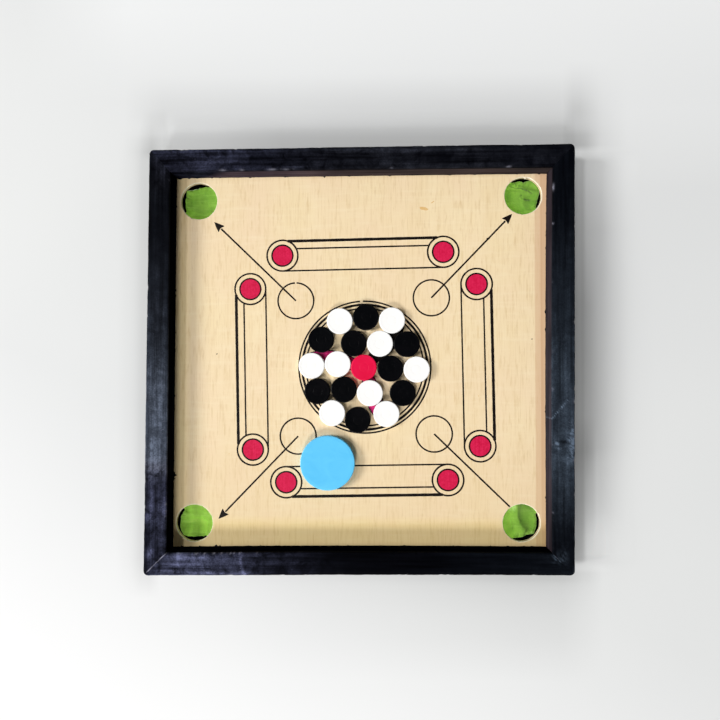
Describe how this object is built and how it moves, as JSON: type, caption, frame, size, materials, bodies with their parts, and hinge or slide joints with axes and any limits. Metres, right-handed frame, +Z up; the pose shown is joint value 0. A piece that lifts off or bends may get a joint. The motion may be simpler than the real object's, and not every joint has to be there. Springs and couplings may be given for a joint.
{
  "type": "carrom board",
  "caption": "Square tabletop carrom board with a raised painted frame, corner pockets with cloth pouches, playing men, a queen and a striker.",
  "frame": {"origin": "centre of the frame's underside, on the plane the board stands on", "axes": "+Z up out of the playing surface, +X to the right and +Y to the far side, seen by the player at the front rail"},
  "size_m": [0.305, 0.305, 0.025],
  "materials": {
    "frame_paint": "worn dark paint on wood, satin",
    "board_ply": "sanded and lacquered light plywood",
    "pocket_cloth": "soft green nylon cloth",
    "fastener_steel": "plain wire nails and staples",
    "man_white": "moulded white plastic",
    "man_black": "moulded black plastic",
    "queen_red": "moulded red plastic",
    "striker_blue": "smooth light blue acrylic"
  },
  "bodies": {
    "board": {"frame_rail_front": "frame_paint", "frame_rail_right": "frame_paint", "frame_rail_back": "frame_paint", "frame_rail_left": "frame_paint", "play_board": "board_ply", "corner_nails": "fastener_steel", "board_pins": "fastener_steel", "pocket_net_back_left": "pocket_cloth", "pocket_net_back_right": "pocket_cloth", "pocket_net_front_left": "pocket_cloth", "pocket_net_front_right": "pocket_cloth", "pocket_staples": "fastener_steel"},
    "white_man_1": {"white_man_1": "man_white"},
    "white_man_2": {"white_man_2": "man_white"},
    "white_man_3": {"white_man_3": "man_white"},
    "white_man_4": {"white_man_4": "man_white"},
    "white_man_5": {"white_man_5": "man_white"},
    "white_man_6": {"white_man_6": "man_white"},
    "white_man_7": {"white_man_7": "man_white"},
    "white_man_8": {"white_man_8": "man_white"},
    "white_man_9": {"white_man_9": "man_white"},
    "black_man_1": {"black_man_1": "man_black"},
    "black_man_2": {"black_man_2": "man_black"},
    "black_man_3": {"black_man_3": "man_black"},
    "black_man_4": {"black_man_4": "man_black"},
    "black_man_5": {"black_man_5": "man_black"},
    "black_man_6": {"black_man_6": "man_black"},
    "black_man_7": {"black_man_7": "man_black"},
    "black_man_8": {"black_man_8": "man_black"},
    "black_man_9": {"black_man_9": "man_black"},
    "queen": {"queen": "queen_red"},
    "striker": {"striker": "striker_blue"}
  },
  "joints": [
    {"name": "striker_baseline", "type": "slide", "parent": "board", "child": "striker", "axis": [1, 0, 0], "range_m": [-0.0325, 0.0865]},
    {"name": "white_man_1_lift", "type": "slide", "parent": "board", "child": "white_man_1", "axis": [0, 0, 1], "range_m": [0, 0.04]},
    {"name": "white_man_2_lift", "type": "slide", "parent": "board", "child": "white_man_2", "axis": [0, 0, 1], "range_m": [0, 0.04]},
    {"name": "white_man_3_lift", "type": "slide", "parent": "board", "child": "white_man_3", "axis": [0, 0, 1], "range_m": [0, 0.04]},
    {"name": "white_man_4_lift", "type": "slide", "parent": "board", "child": "white_man_4", "axis": [0, 0, 1], "range_m": [0, 0.04]},
    {"name": "white_man_5_lift", "type": "slide", "parent": "board", "child": "white_man_5", "axis": [0, 0, 1], "range_m": [0, 0.04]},
    {"name": "white_man_6_lift", "type": "slide", "parent": "board", "child": "white_man_6", "axis": [0, 0, 1], "range_m": [0, 0.04]},
    {"name": "white_man_7_lift", "type": "slide", "parent": "board", "child": "white_man_7", "axis": [0, 0, 1], "range_m": [0, 0.04]},
    {"name": "white_man_8_lift", "type": "slide", "parent": "board", "child": "white_man_8", "axis": [0, 0, 1], "range_m": [0, 0.04]},
    {"name": "white_man_9_lift", "type": "slide", "parent": "board", "child": "white_man_9", "axis": [0, 0, 1], "range_m": [0, 0.04]},
    {"name": "black_man_1_lift", "type": "slide", "parent": "board", "child": "black_man_1", "axis": [0, 0, 1], "range_m": [0, 0.04]},
    {"name": "black_man_2_lift", "type": "slide", "parent": "board", "child": "black_man_2", "axis": [0, 0, 1], "range_m": [0, 0.04]},
    {"name": "black_man_3_lift", "type": "slide", "parent": "board", "child": "black_man_3", "axis": [0, 0, 1], "range_m": [0, 0.04]},
    {"name": "black_man_4_lift", "type": "slide", "parent": "board", "child": "black_man_4", "axis": [0, 0, 1], "range_m": [0, 0.04]},
    {"name": "black_man_5_lift", "type": "slide", "parent": "board", "child": "black_man_5", "axis": [0, 0, 1], "range_m": [0, 0.04]},
    {"name": "black_man_6_lift", "type": "slide", "parent": "board", "child": "black_man_6", "axis": [0, 0, 1], "range_m": [0, 0.04]},
    {"name": "black_man_7_lift", "type": "slide", "parent": "board", "child": "black_man_7", "axis": [0, 0, 1], "range_m": [0, 0.04]},
    {"name": "black_man_8_lift", "type": "slide", "parent": "board", "child": "black_man_8", "axis": [0, 0, 1], "range_m": [0, 0.04]},
    {"name": "black_man_9_lift", "type": "slide", "parent": "board", "child": "black_man_9", "axis": [0, 0, 1], "range_m": [0, 0.04]},
    {"name": "queen_lift", "type": "slide", "parent": "board", "child": "queen", "axis": [0, 0, 1], "range_m": [0, 0.04]}
  ]
}
